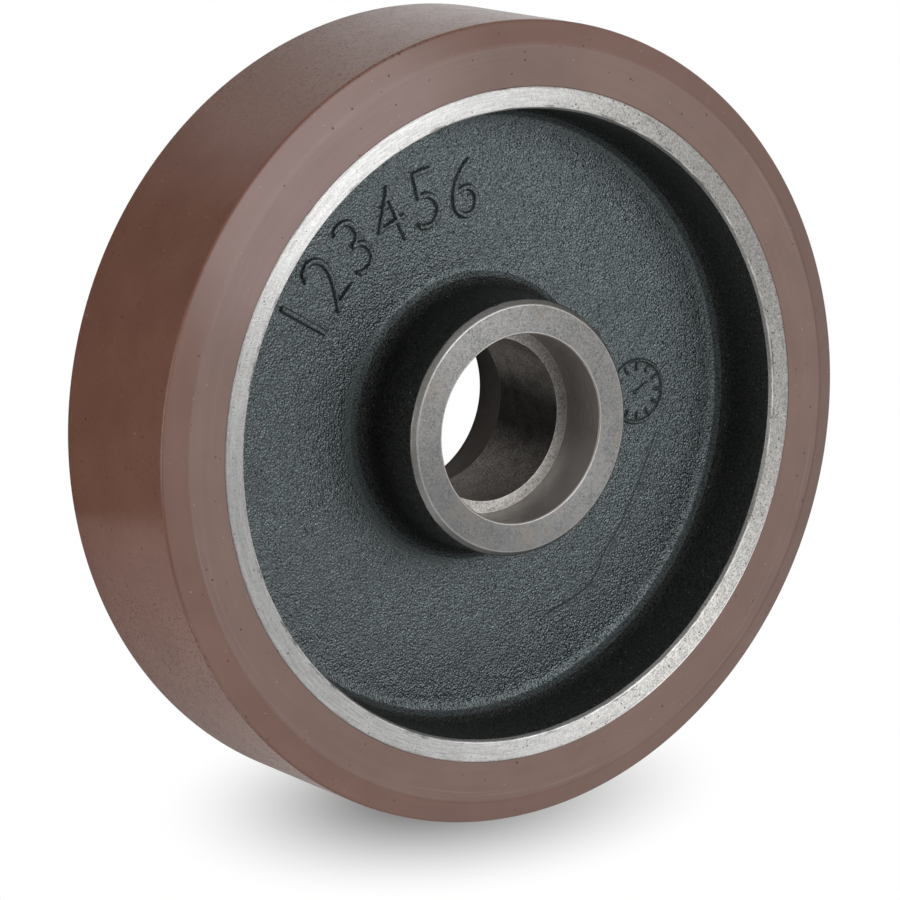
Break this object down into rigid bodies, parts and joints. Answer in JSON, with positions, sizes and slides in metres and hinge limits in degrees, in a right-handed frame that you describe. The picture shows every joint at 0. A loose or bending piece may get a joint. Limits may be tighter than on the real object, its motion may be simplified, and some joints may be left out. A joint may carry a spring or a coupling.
{
  "type": "polyurethane wheel",
  "caption": "Solid castor wheel: a dished cast iron core with a plain stepped hub bore for bearings and a thick brown polyurethane tyre bonded to its rim.",
  "frame": {"origin": "middle of the wheel, on its axis and halfway between its two sides", "axes": "+Z along the wheel's axis; the wheel lies on the end face of its hub, and both sides are alike"},
  "size_m": [0.2, 0.2, 0.053],
  "materials": {
    "cast_iron": "cast surfaces in dark grey-green lacquer, turned faces bare",
    "polyurethane": "smooth satin brown"
  },
  "bodies": {
    "root": {"wheel_core": "cast_iron", "tyre": "polyurethane"}
  },
  "joints": []
}
